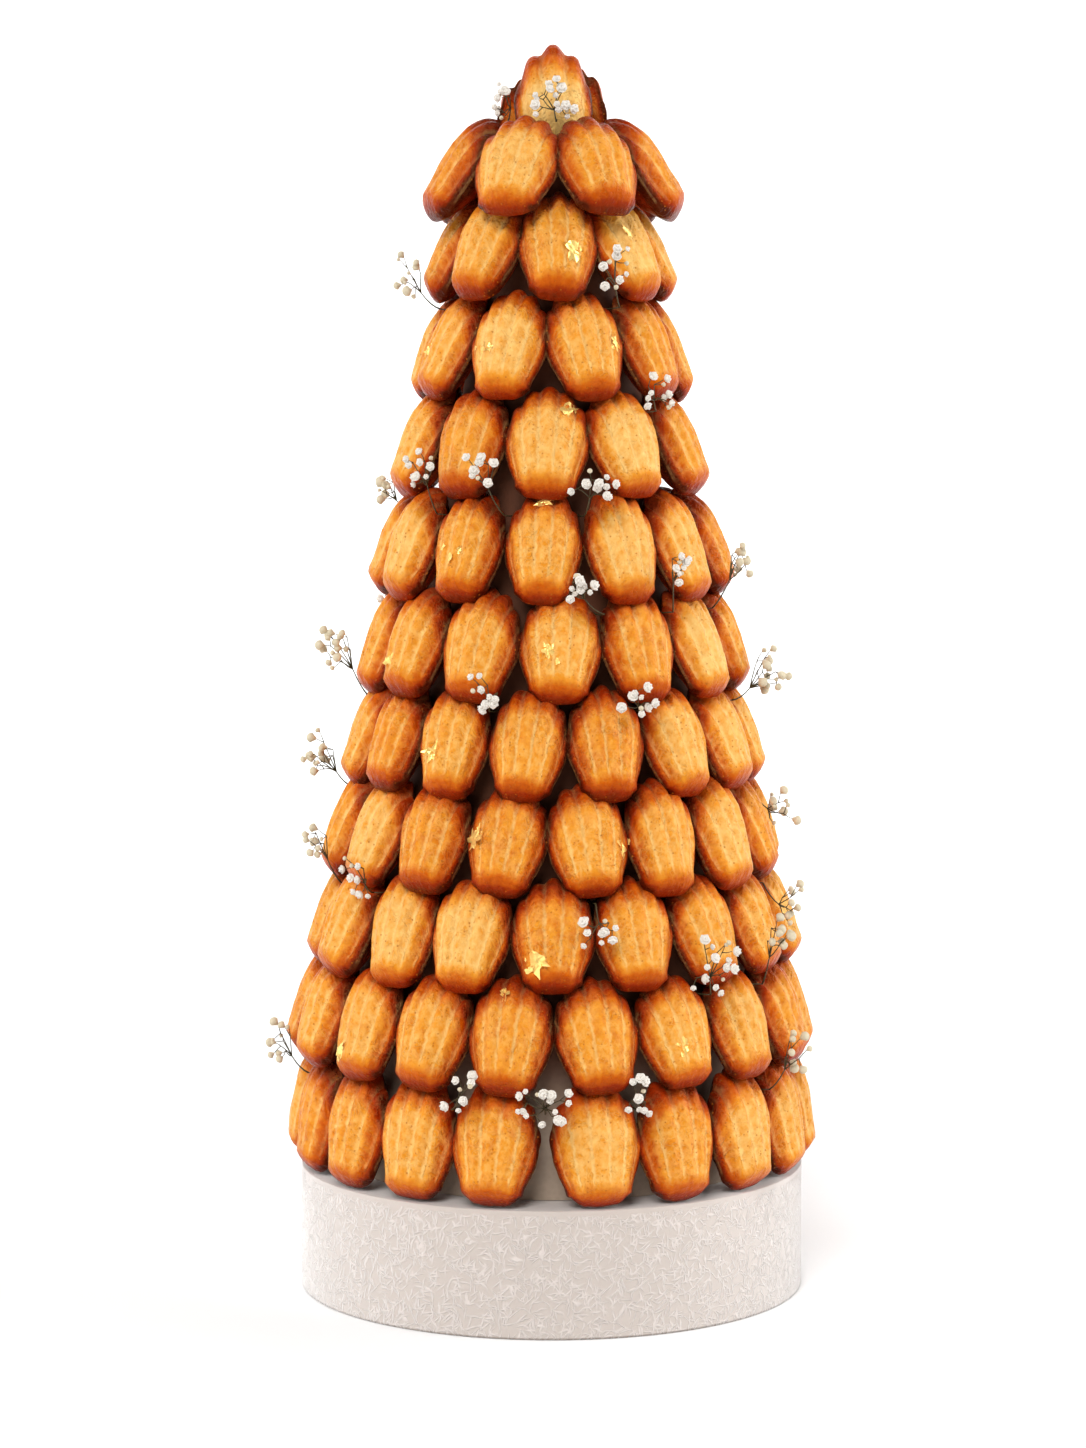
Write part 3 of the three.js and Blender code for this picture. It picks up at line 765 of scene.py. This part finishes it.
def add_cake(context, cake, ribs, scallop, hump, name):
    """One cake, ribs up, blunt end towards -Y, its rim on the ground plane."""
    columns = ribs * 4
    lines = len(CAKE_LINES) - 1
    deselect_all(context)
    bpy.ops.mesh.primitive_grid_add(x_subdivisions=columns, y_subdivisions=lines, size=2)
    piece = context.object
    piece.name = name
    mesh = piece.data
    across = mesh.attributes.new("across", "FLOAT", "POINT")
    along = mesh.attributes.new("along", "FLOAT", "POINT")
    rib = mesh.attributes.new("rib", "FLOAT", "POINT")
    for vert in mesh.vertices:
        across.data[vert.index].value = vert.co.x
        rib.data[vert.index].value = (vert.co.x + 1) * ribs / 2
        along.data[vert.index].value = CAKE_LINES[round((vert.co.y + 1) / 2 * lines)]
    mesh.uv_layers.remove(mesh.uv_layers[0])
    for material in crusts(context.scene.madeleine_finishes):
        mesh.materials.append(material)

    def on_front(vert):
        return vert.co.z > cake.rim / 2

    def pick_by(layer_name, values, front=None, after=-1.0, before=2.0, along=None):
        layers = bmesh.from_edit_mesh(mesh).verts.layers.float
        layer, length_layer = layers[layer_name], layers["along"]
        pick(mesh, lambda vert: (
            in_list(vert[layer], values)
            and (front is None or front == on_front(vert))
            and (along is None or abs(vert[length_layer] - along) < CLOSE)
            and after < vert[length_layer] < before
        ))

    bpy.ops.object.mode_set(mode="EDIT")
    bpy.ops.mesh.select_mode(type="VERT")
    asides = [2 * k / columns - 1 for k in range(columns + 1)]

    # The outline: lines are spaced, every column gets its length, every line its width
    for k, share in enumerate(CAKE_LINES):
        pick_by("along", [share])
        bpy.ops.transform.translate(value=(0, 2 * share - 2 * k / lines + 1, 0))
    for aside in asides:
        pick_by("across", [aside])
        wide = column_place(aside) / aside if abs(aside) > 1e-6 else math.pi / 2
        place = abs(column_place(aside))
        foot = cake.long * (0.02 * place**2 + 0.06 * place**5)
        bpy.ops.transform.resize(
            value=(wide * cake.wide / 2, (cake_rim(cake, aside, ribs, scallop) - foot) / 2, 1),
            center_override=(0, 0, 0),
        )
        bpy.ops.transform.translate(value=(0, foot - cake.long / 2, 0))
        # The edge of the lip runs down into the corners
        corner = place**2.2
        for share, part in ((CAKE_LINES[1], 0.12), (LIP, 0.36)):
            pick_by("across", [aside], along=share)
            bpy.ops.transform.translate(value=(0, -part * corner * LIP * cake.long, 0))
    for share in CAKE_LINES:
        pick_by("along", [share])
        narrow = cake.hinge_share + (1 - cake.hinge_share) * math.sin(share * math.pi / 2)
        bpy.ops.transform.resize(value=(narrow, 1, 1), center_override=(0, 0, 0))

    # The shell: drawn up from the back, each column to its height, each line to the dome
    bpy.ops.mesh.select_all(action="SELECT")
    bpy.ops.mesh.extrude_region_move(TRANSFORM_OT_translate={"value": (0, 0, cake.rim)})
    for aside in asides:
        pick_by("across", [aside], front=True)
        round_side = max(0.0, 1 - abs(column_place(aside)) ** 2.4) ** 0.6
        bpy.ops.transform.translate(value=(0, 0, (cake.shell - cake.rim) * round_side))
    for share in CAKE_LINES:
        pick_by("along", [share], front=True)
        bpy.ops.transform.resize(
            value=(1, 1, cake_dome(share)), center_override=(0, 0, cake.rim)
        )

    # The valleys between the ribs fade out towards both ends
    valleys = [2 * k / ribs - 1 for k in range(1, ribs)]
    flanks = [valley + side / columns * 2 for valley in valleys for side in (-1, 1)]
    for after, before in ((LIP + 0.01, 0.98), (0.22, 0.93), (0.3, 0.86)):
        pick_by("across", valleys, front=True, after=after, before=before)
        bpy.ops.transform.translate(value=(0, 0, -cake.rib / 3))
        pick_by("across", flanks, front=True, after=after, before=before)
        bpy.ops.transform.translate(value=(0, 0, -cake.rib / 10))

    # The hump on the back
    for aside in asides:
        pick_by("across", [aside], front=False)
        belly = max(0.0, 1 - abs(column_place(aside)) ** 2.2) ** 0.8
        bpy.ops.transform.translate(value=(0, 0, -hump * belly))
    for share in CAKE_LINES:
        pick_by("along", [share], front=False)
        belly = math.sin(math.pi * share) ** 0.9
        bpy.ops.transform.resize(value=(1, 1, belly), center_override=(0, 0, 0))

    # The valleys and the edge of the lip stay crisp
    bpy.ops.mesh.select_mode(type="EDGE")
    for crease, test in (
        (0.5, lambda ends: same(ends, 0) and in_list(ends[0][0], valleys)),
        (0.4, lambda ends: same(ends, 1) and abs(ends[0][1] - LIP) < CLOSE),
    ):
        shape = bmesh.from_edit_mesh(mesh)
        layers = shape.verts.layers.float
        for edge in shape.edges:
            ends = [(vert[layers["across"]], vert[layers["along"]]) for vert in edge.verts]
            edge.select = test(ends) and all(on_front(vert) for vert in edge.verts)
        bmesh.update_edit_mesh(mesh)
        bpy.ops.transform.edge_crease(value=crease)

    # The back takes the browner crust
    bpy.ops.mesh.select_mode(type="FACE")
    shape = bmesh.from_edit_mesh(mesh)
    for face in shape.faces:
        face.select = all(not on_front(vert) for vert in face.verts)
    bmesh.update_edit_mesh(mesh)
    piece.active_material_index = 1
    bpy.ops.object.material_slot_assign()
    bpy.ops.mesh.select_all(action="SELECT")
    bpy.ops.mesh.normals_make_consistent(inside=False)
    bpy.ops.object.mode_set(mode="OBJECT")
    bpy.ops.object.shade_smooth()
    smooth = piece.modifiers.new("smooth", "SUBSURF")
    smooth.levels = smooth.render_levels = 1
    apply_modifiers(context, piece)
    return piece


def same(ends, number):
    return abs(ends[0][number] - ends[1][number]) < CLOSE


def in_list(value, values):
    return any(abs(value - other) < CLOSE for other in values)


def copy_cake(context, cake_piece, place, tone):
    """A copy of a cake with its own mesh, put in its place, with its own tone of brown."""
    mesh = cake_piece.data.copy()
    mesh.transform(cake_matrix(*place))
    shade = mesh.attributes.new("tone", "FLOAT", "POINT")
    shade.data.foreach_set("value", [tone] * len(mesh.vertices))
    copy = bpy.data.objects.new("cake", mesh)
    context.collection.objects.link(copy)
    return copy


def bake_unevenly(context, piece, cake):
    roughen(piece, "lumps", 16 * MM, cake.lumps)
    roughen(piece, "ripples", 4 * MM, cake.ripples)
    apply_modifiers(context, piece)


def crusts(finishes):
    shell = bpy.data.materials.get("sponge crust") or sponge_crust(finishes, "sponge crust")
    back = bpy.data.materials.get("sponge crust, back") or sponge_crust(
        finishes, "sponge crust, back", back=True
    )
    return shell, back


class MADELEINE_OT_drum(Operator):
    """Make the round drum, covered in embossed paper"""

    bl_idname = "madeleine.drum"
    bl_label = "Drum"

    def execute(self, context):
        support = context.scene.madeleine_support
        deselect_all(context)
        bpy.ops.mesh.primitive_cylinder_add(
            vertices=256, radius=support.drum_radius, depth=support.drum_height,
            location=(0, 0, support.drum_height / 2),
        )
        drum = context.object
        drum.name = "drum_paper"
        bpy.ops.object.transform_apply(location=True)
        mesh = drum.data
        bpy.ops.object.mode_set(mode="EDIT")
        bpy.ops.mesh.select_mode(type="EDGE")
        for level, offset in ((support.drum_height, 0.6 * MM), (0, 1.2 * MM)):
            shape = bmesh.from_edit_mesh(mesh)
            for edge in shape.edges:
                edge.select = all(abs(vert.co.z - level) < 0.01 * MM for vert in edge.verts)
            bmesh.update_edit_mesh(mesh)
            bpy.ops.mesh.bevel(offset=offset, segments=3)
        bpy.ops.object.mode_set(mode="OBJECT")
        bpy.ops.object.shade_smooth_by_angle(angle=math.radians(40))
        mesh.materials.append(embossed_paper(context.scene.madeleine_finishes, support.drum_radius))
        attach(drum, "root")
        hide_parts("drum")
        return {"FINISHED"}


class MADELEINE_OT_cone(Operator):
    """Make the foam cone with its straight foot"""

    bl_idname = "madeleine.cone"
    bl_label = "Cone"

    def execute(self, context):
        support = context.scene.madeleine_support
        deselect_all(context)
        base = support.drum_height + CLEARANCE * MM
        foot_top = support.drum_height + support.cone_foot
        bpy.ops.mesh.primitive_cylinder_add(
            vertices=128, radius=support.cone_radius, depth=foot_top - base,
            location=(0, 0, (foot_top + base) / 2),
        )
        cone = context.object
        cone.name = "cone_foam"
        bpy.ops.object.transform_apply(location=True)
        bpy.ops.object.mode_set(mode="EDIT")
        bpy.ops.mesh.select_mode(type="FACE")
        shape = bmesh.from_edit_mesh(cone.data)
        for face in shape.faces:
            face.select = face.normal.z > 0.9
        bmesh.update_edit_mesh(cone.data)
        bpy.ops.mesh.extrude_region_move(
            TRANSFORM_OT_translate={"value": (0, 0, support.cone_top - foot_top)}
        )
        narrow = support.cone_tip / support.cone_radius
        bpy.ops.transform.resize(
            value=(narrow, narrow, 1), center_override=(0, 0, support.cone_top)
        )
        bpy.ops.mesh.bevel(offset=1.5 * MM, segments=2)
        bpy.ops.object.mode_set(mode="OBJECT")
        bpy.ops.object.shade_smooth_by_angle(angle=math.radians(30))
        cone.data.materials.append(painted_foam(context.scene.madeleine_finishes))
        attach(cone, "root")
        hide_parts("cone")
        return {"FINISHED"}


class MADELEINE_OT_rows(Operator):
    """Bake the cakes and stack them in rows on the cone"""

    bl_idname = "madeleine.rows"
    bl_label = "Rows of cakes"

    def execute(self, context):
        support = context.scene.madeleine_support
        cake = context.scene.madeleine_cake
        one = add_cake(context, cake, cake.ribs, cake.scallop, cake.hump, "one cake")
        for index in range(len(ROWS)):
            copies = [
                copy_cake(context, one, place, ROW_TONE.get(index, 0) + uneven(index, number, 21))
                for number, place in enumerate(row_places(support, cake, index))
            ]
            node = f"row_{index + 1:02d}"
            row = join(context, copies, node + "_cakes")
            bake_unevenly(context, row, cake)
            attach(row, "root")
            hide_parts(node)
        bpy.data.objects.remove(one)
        return {"FINISHED"}


class MADELEINE_OT_crown(Operator):
    """Stand three slim cakes on the tip of the cone"""

    bl_idname = "madeleine.crown"
    bl_label = "Crown"

    def execute(self, context):
        support = context.scene.madeleine_support
        cake = context.scene.madeleine_cake
        one = add_cake(
            context, cake, cake.crown_ribs, cake.crown_scallop, cake.crown_hump, "one crown cake"
        )
        for node, azimuth, radius, aside, tilt, scale, tone in CROWN:
            height = crown_height(support, cake, tilt, scale[1])
            place = (azimuth, radius, height, tilt, 0, scale, aside)
            copy = copy_cake(context, one, place, tone)
            crown = join(context, [copy], node + "_cake")
            bake_unevenly(context, crown, cake)
            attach(crown, "root")
            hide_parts(node)
        bpy.data.objects.remove(one)
        return {"FINISHED"}


def add_blossom(context, trim):
    """An open flower: petals round a middle, facing +Z, its calyx at the origin."""
    petals = []
    for ring, (count, tilt, reach, rise) in enumerate(PETALS):
        for k in range(count):
            deselect_all(context)
            bpy.ops.mesh.primitive_ico_sphere_add(subdivisions=1, radius=trim.bloom * 0.3)
            petal = context.object
            petal.scale = (0.9, 0.42, 1.0)
            bpy.ops.object.transform_apply(scale=True)
            turn = 2 * math.pi * (k / count + 0.37 * ring)
            petal.data.transform(
                Matrix.Rotation(turn, 4, "Z")
                @ Matrix.Translation((0, -reach * trim.bloom, rise * trim.bloom))
                @ Matrix.Rotation(math.radians(tilt), 4, "X")
            )
            petals.append(petal)
    return join(context, petals, "one blossom")


def add_bud(context, trim):
    """A closed bud: a ball that narrows to its stalk, facing +Z, its stalk at the origin."""
    deselect_all(context)
    bpy.ops.mesh.primitive_ico_sphere_add(
        subdivisions=2, radius=trim.bud / 2, location=(0, 0, trim.bud * 0.5)
    )
    bud = context.object
    bud.name = "one bud"
    bpy.ops.object.transform_apply(location=True)
    bpy.ops.object.mode_set(mode="EDIT")
    bpy.ops.mesh.select_mode(type="VERT")
    pick(bud.data, lambda vert: vert.co.z < trim.bud * 0.3)
    bpy.ops.transform.resize(value=(0.62, 0.62, 1), center_override=(0, 0, 0))
    bpy.ops.object.mode_set(mode="OBJECT")
    return bud


def tube(points, faces, path, thickness):
    """Adds a five-sided tube along a path to the arrays, thinner towards its far end."""
    sides = 5
    first = len(points)
    for k, middle in enumerate(path):
        ahead = path[min(k + 1, len(path) - 1)] - path[max(k - 1, 0)]
        turn = ahead.to_track_quat("Z", "Y")
        radius = thickness / 2 * (1 - 0.35 * k / (len(path) - 1))
        for side in range(sides):
            angle = 2 * math.pi * side / sides
            spoke = Vector((math.cos(angle), math.sin(angle), 0)) * radius
            points.append(middle + turn @ spoke)
    for k in range(len(path) - 1):
        low = first + k * sides
        for side in range(sides):
            after = (side + 1) % sides
            faces.append((low + side, low + after, low + sides + after, low + sides + side))
    faces.append(tuple(first + side for side in reversed(range(sides))))
    last = first + (len(path) - 1) * sides
    faces.append(tuple(last + side for side in range(sides)))


def bend(start, end, sag, steps):
    """A path from start to end that bows by sag in its middle."""
    return [
        start.lerp(end, k / steps) + sag * (4 * k / steps * (1 - k / steps))
        for k in range(steps + 1)
    ]


class MADELEINE_OT_sprigs(Operator):
    """Tuck sprigs of baby's breath between the cakes"""

    bl_idname = "madeleine.sprigs"
    bl_label = "Sprigs"

    def execute(self, context):
        support = context.scene.madeleine_support
        cake = context.scene.madeleine_cake
        trim = context.scene.madeleine_trim
        finishes = context.scene.madeleine_finishes
        points, faces, nodes = [], [], []
        flowers, buds = [], []
        for index, row in enumerate(ROWS):
            for number, sprig in enumerate(row[6]):
                nodes.append(f"sprig_{index + 1:02d}_{number + 1}")
                self.grow(support, cake, trim, index, sprig, points, faces, flowers, buds)
        green = plant_tissue("plant stem", finishes.stem, 0.35, 0.6)
        stems = mesh_piece(context, "sprig_stems", points, faces, green)
        petal = plant_tissue("flower petal", finishes.petal, 0.08, 0.7)
        closed = plant_tissue("flower bud", finishes.bud, 0.15, 0.65)
        blossom = add_blossom(context, trim)
        blossoms = self.scatter(context, blossom, flowers, "sprig_blossoms", petal)
        bud = add_bud(context, trim)
        round_buds = self.scatter(context, bud, buds, "sprig_buds", closed)
        for piece in (stems, blossoms, round_buds):
            deselect_all(context)
            piece.select_set(True)
            context.view_layer.objects.active = piece
            bpy.ops.object.shade_smooth()
            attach(piece, "root")
        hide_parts(*nodes)
        return {"FINISHED"}

    def grow(self, support, cake, trim, index, sprig, points, faces, flowers, buds):
        """Adds one sprig's stems to the arrays, and the places of its flowers and buds."""
        gap, right, rise = sprig
        large = gap in ROWS[index][5]
        azimuth, radius, height = sprig_gap(support, cake, index, gap)
        turn = Matrix.Rotation(math.radians(azimuth), 4, "Z")

        def at(reach, aside, up):
            return turn @ Vector((aside, -(radius + reach), height + up)) * MM

        size = 1 if not large else 1.2 if index == TOP_ROW else 1.5
        reach = ROW_REACH.get(index, SPRIG_REACH)
        root = -ROW_ROOT.get(index, radius)
        inner = max(cone_radius(support, height) + 2 * CLEARANCE - radius, root)
        mouth = at(SPRIG_MOUTH * reach, 0, 0)
        fork = at(reach, SPRIG_FORK * right, SPRIG_FORK * rise)
        sag = at(0, 0, -0.8) - at(0, 0, 0)
        tube(points, faces, bend(at(inner, 0, 0), mouth, sag, 3), trim.stem)
        tube(points, faces, bend(mouth, fork, sag * 2, 4), trim.stem)
        at_side = abs(math.sin(math.radians(azimuth))) > SIDE
        twigs = 8 if large else 5
        for twig in range(twigs):
            seed = 31 + 10 * twig
            angle = 2 * math.pi * (twig + 0.5 * uneven(index, gap, seed)) / twigs
            aside = right + size * (6.5 * math.cos(angle) + 2 * uneven(index, gap, seed + 1))
            up = rise + size * (1.5 + 6 * math.sin(angle) + 2 * uneven(index, gap, seed + 2))
            out = reach + size * (4 + 3 * uneven(index, gap, seed + 3))
            if at_side:
                # Seen from the front these fan out and up from the edge of the tower
                lift = math.radians(80 * (twig + 0.5) / twigs - 15)
                stretch = size * (6 + 2 * (3 * twig % 5) + 2 * uneven(index, gap, seed + 3))
                aside = right + 0.4 * (aside - right)
                up = rise + stretch * math.sin(lift)
                out = reach - 4 + stretch * math.cos(lift)
            joint = at(out, aside, up)
            bow = at(0, 0, 1.2 * uneven(index, gap, seed + 4)) - at(0, 0, 0)
            tube(points, faces, bend(fork, joint, bow, 3), trim.stem * 0.75)
            spread = 5 if at_side else 4
            for tip in range(2):
                trait = seed + 5 + tip * 0.37
                far = at(
                    out + 2.5 + spread / 2 * uneven(index, gap, trait),
                    aside + 0.15 * (aside - right) + spread * uneven(index, gap, trait + 0.11),
                    up + 0.15 * (up - rise) + spread * uneven(index, gap, trait + 0.23),
                )
                tube(points, faces, bend(joint, far, bow * 0.4, 2), trim.stem * 0.6)
                grown = (0.92, 0.62)[tip] + 0.2 * uneven(index, gap, trait + 0.31)
                outward = (at(1, 0, 0) - at(0, 0, 0)).normalized()
                facing = (far - joint).normalized().lerp(outward, 0.4)
                spot = Matrix.Translation(far) @ facing.to_track_quat("Z", "Y").to_matrix().to_4x4()
                target = buds if at_side or (tip and grown < 0.55) else flowers
                target.append(spot @ Matrix.Scale(grown, 4))

    def scatter(self, context, one, spots, name, material):
        """A piece of many copies of one small thing, joined as arrays."""
        corners = [vert.co.copy() for vert in one.data.vertices]
        sides = [tuple(face.vertices) for face in one.data.polygons]
        bpy.data.objects.remove(one)
        points, faces = [], []
        for spot in spots:
            first = len(points)
            points += [spot @ corner for corner in corners]
            faces += [tuple(first + k for k in side) for side in sides]
        return mesh_piece(context, name, points, faces, material)


class MADELEINE_OT_gold(Operator):
    """Lay crumpled flakes of gold leaf on some cakes"""

    bl_idname = "madeleine.gold"
    bl_label = "Gold leaf"

    def execute(self, context):
        support = context.scene.madeleine_support
        cake = context.scene.madeleine_cake
        trim = context.scene.madeleine_trim
        pieces = []
        for number, (index, place, aside, up, size) in enumerate(FLAKES):
            row = bpy.data.objects[f"row_{index + 1:02d}_cakes"]
            matrix = cake_matrix(*row_places(support, cake, index)[place])
            # The flake itself, then the smaller bits beside it
            for shard in range(SHARDS + 1):
                seed = (SHARDS + 1) * number + shard
                wide = trim.flake * size * (0.35 if shard else 1)
                x = aside * MM + (0.7 * trim.flake * uneven(seed, 1, 2) if shard else 0)
                y = up * MM + (0.7 * trim.flake * uneven(seed, 1, 4) if shard else 0)
                above = matrix @ Vector((x, y, 50 * MM))
                inward = matrix @ Vector((x, y, 0)) - above
                found, spot, normal, _ = row.ray_cast(above, inward.normalized())
                if not found:
                    raise RuntimeError(f"gold flake {number} misses its cake")
                flake = self.add_flake(context, wide, seed)
                spin = Matrix.Rotation(3.1 * uneven(seed, 0, 9), 4, "Z")
                lie = normal.to_track_quat("Z", "Y").to_matrix().to_4x4()
                flake.data.transform(Matrix.Translation(spot + normal * 0.2 * MM) @ lie @ spin)
                pieces.append(flake)
        gold = join(context, pieces, "gold_flakes")
        gold.data.materials.clear()
        gold.data.materials.append(gold_leaf(context.scene.madeleine_finishes))
        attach(gold, "root")
        return {"FINISHED"}

    def add_flake(self, context, wide, seed):
        """One ragged, slightly crumpled flake, lying flat on the ground plane."""
        deselect_all(context)
        bpy.ops.mesh.primitive_grid_add(x_subdivisions=6, y_subdivisions=4, size=1)
        flake = context.object
        for vert in flake.data.vertices:
            ragged = 1 + 0.45 * uneven(seed, vert.index, 3)
            curl = 0.06 * (1 + uneven(seed, vert.index, 5)) * abs(vert.co.x)
            wave = 0.05 * math.sin(6 * vert.co.x + 4 * vert.co.y + seed)
            skew = 0.25 * uneven(seed, 2, 6) * vert.co.x
            slim = 0.62 * vert.co.y * ragged + skew
            vert.co = Vector((vert.co.x * ragged, slim, curl + wave)) * wide
        thick = flake.modifiers.new("thickness", "SOLIDIFY")
        thick.thickness = 0.1 * MM
        apply_modifiers(context, flake)
        return flake


class MADELEINE_OT_stage(Operator):
    """Set up the floor, the soft studio light and the camera"""

    bl_idname = "madeleine.stage"
    bl_label = "Stage"

    def execute(self, context):
        stage = context.scene.madeleine_stage
        scene = context.scene
        deselect_all(context)
        bpy.ops.mesh.primitive_plane_add(size=12, location=(0, -2, 0))
        floor = context.object
        floor.name = "floor"
        bpy.ops.object.transform_apply(location=True)
        bpy.ops.object.mode_set(mode="EDIT")
        bpy.ops.mesh.select_mode(type="VERT")
        pick(floor.data, lambda vert: vert.co.y > 3)
        bpy.ops.mesh.extrude_region_move(TRANSFORM_OT_translate={"value": (0, 0, 6)})
        pick(floor.data, lambda vert: vert.co.y > 3 and vert.co.z < 1)
        bpy.ops.mesh.bevel(offset=1.5, segments=16)
        bpy.ops.object.mode_set(mode="OBJECT")
        bpy.ops.object.shade_smooth()
        material, tree, shader = new_material("white floor")
        connect(tree, shader, {"Base Color": (*linear("#F8F8F8"), 1), "Roughness": 0.9})
        floor.data.materials.append(material)

        world = bpy.data.worlds.new("white studio")
        world.use_nodes = True
        sky = world.node_tree.nodes["Background"]
        connect(world.node_tree, sky, {"Color": (1, 1, 1, 1), "Strength": 0.1})
        scene.world = world
        for name, direction, spread, strength in LIGHTS:
            light = bpy.data.lights.new(name, "SUN")
            light.angle = math.radians(spread)
            light.energy = strength
            lamp = bpy.data.objects.new(name, light)
            scene.collection.objects.link(lamp)
            lamp.rotation_euler = Vector(direction).to_track_quat("Z", "Y").to_euler()
        glow = bpy.data.lights.new("backdrop light", "AREA")
        glow.shape = "RECTANGLE"
        glow.size, glow.size_y = 5, 0.6
        glow.energy = 90
        lamp = bpy.data.objects.new("backdrop light", glow)
        scene.collection.objects.link(lamp)
        lamp.location = (0, 1.4, 3.2)
        lamp.rotation_euler = (math.radians(60), 0, 0)

        camera = bpy.data.objects.new("camera", bpy.data.cameras.new("camera"))
        scene.collection.objects.link(camera)
        camera.data.sensor_fit = "VERTICAL"
        camera.data.sensor_height = SENSOR_HEIGHT
        camera.data.lens = stage.focal * SENSOR_HEIGHT / PICTURE_HEIGHT
        camera.data.clip_start = 0.1
        camera.data.clip_end = 50
        pitch = math.atan((PICTURE_HEIGHT / 2 - stage.horizon) / stage.focal)
        camera.location = (-stage.aside, -stage.distance, stage.eye)
        camera.rotation_euler = (math.pi / 2 - pitch, 0, 0)
        scene.camera = camera
        scene.view_settings.view_transform = "Standard"
        scene.view_settings.look = "None"
        return {"FINISHED"}


class MADELEINE_PT_tower(Panel):
    """Everything that makes the tower, in order"""

    bl_idname = "MADELEINE_PT_tower"
    bl_label = "Madeleine Tower"
    bl_space_type = "VIEW_3D"
    bl_region_type = "UI"
    bl_category = "Madeleine Tower"

    def draw(self, context):
        layout = self.layout
        for operator in OPERATORS:
            layout.operator(operator.bl_idname)
        for group in GROUPS:
            box = layout.box()
            settings = getattr(context.scene, group)
            for name in settings.__annotations__:
                box.prop(settings, name)


OPERATORS = (
    MADELEINE_OT_drum,
    MADELEINE_OT_cone,
    MADELEINE_OT_rows,
    MADELEINE_OT_crown,
    MADELEINE_OT_sprigs,
    MADELEINE_OT_gold,
    MADELEINE_OT_stage,
)
GROUPS = {
    "madeleine_support": MADELEINE_PG_support,
    "madeleine_cake": MADELEINE_PG_cake,
    "madeleine_trim": MADELEINE_PG_trim,
    "madeleine_finishes": MADELEINE_PG_finishes,
    "madeleine_stage": MADELEINE_PG_stage,
}


def register():
    for group in GROUPS.values():
        bpy.utils.register_class(group)
    for operator in OPERATORS:
        bpy.utils.register_class(operator)
    bpy.utils.register_class(MADELEINE_PT_tower)
    for name, group in GROUPS.items():
        setattr(bpy.types.Scene, name, PointerProperty(type=group))


def unregister():
    for name in GROUPS:
        delattr(bpy.types.Scene, name)
    bpy.utils.unregister_class(MADELEINE_PT_tower)
    for operator in reversed(OPERATORS):
        bpy.utils.unregister_class(operator)
    for group in reversed(GROUPS.values()):
        bpy.utils.unregister_class(group)


def main():
    register()
    bpy.ops.madeleine.drum()
    bpy.ops.madeleine.cone()
    bpy.ops.madeleine.rows()
    bpy.ops.madeleine.crown()
    bpy.ops.madeleine.sprigs()
    bpy.ops.madeleine.gold()
    bpy.ops.madeleine.stage()


if __name__ == "__main__":
    main()
